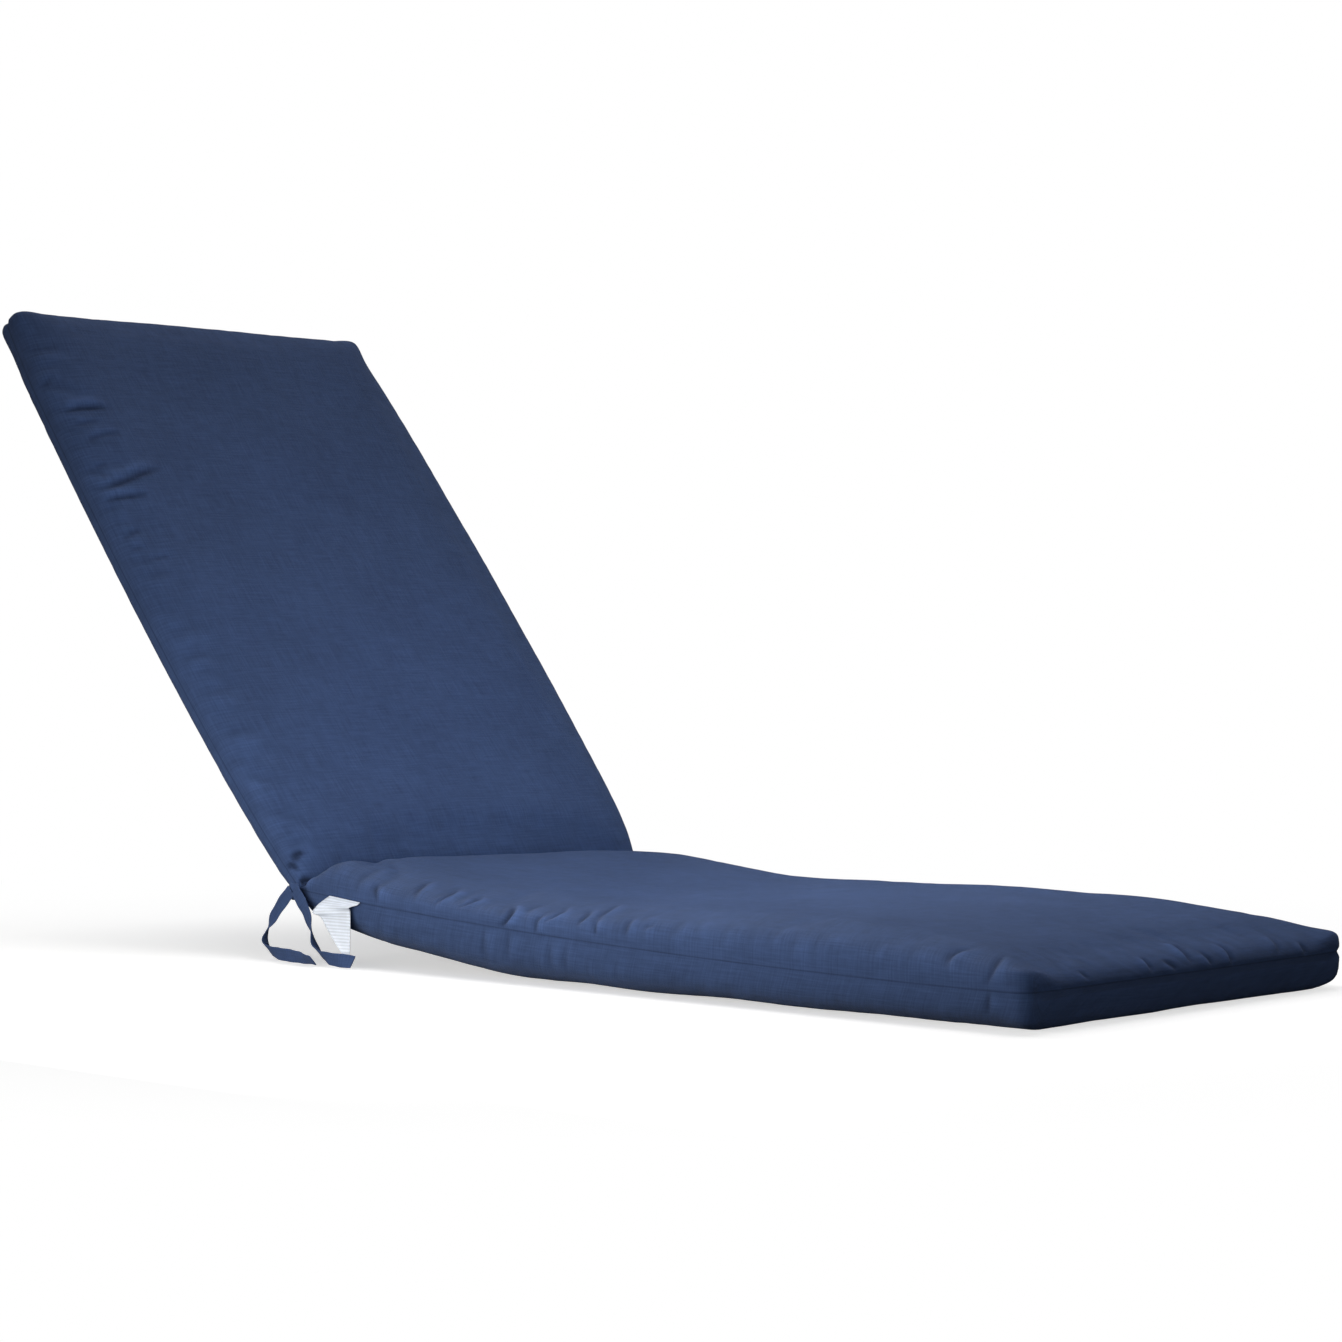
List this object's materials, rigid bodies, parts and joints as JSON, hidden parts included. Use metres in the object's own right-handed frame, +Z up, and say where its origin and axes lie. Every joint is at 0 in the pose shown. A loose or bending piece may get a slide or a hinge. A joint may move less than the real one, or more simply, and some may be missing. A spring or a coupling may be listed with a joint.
{
  "type": "lounge chair cushion",
  "caption": "Long filled cushion for a chaise lounge chair, with a seat section and a leaning back section joined at a stitched channel, side ties and a small label",
  "frame": {"origin": "middle of the cushion's outline box, at the level that the seat section rests on", "axes": "+X towards the foot end along the cushion's length, +Y across its width away from the side with the tie, +Z up"},
  "size_m": [1.4714, 0.6061, 0.7224],
  "materials": {
    "navy_cloth": "matt plain-weave outdoor cloth, solid navy",
    "white_satin": "thin woven satin, soft sheen, bare"
  },
  "bodies": {
    "root": {"cushion": "navy_cloth", "tie_root": "navy_cloth", "tie_left": "navy_cloth", "tie_right": "navy_cloth", "care_label": "white_satin"}
  },
  "joints": []
}
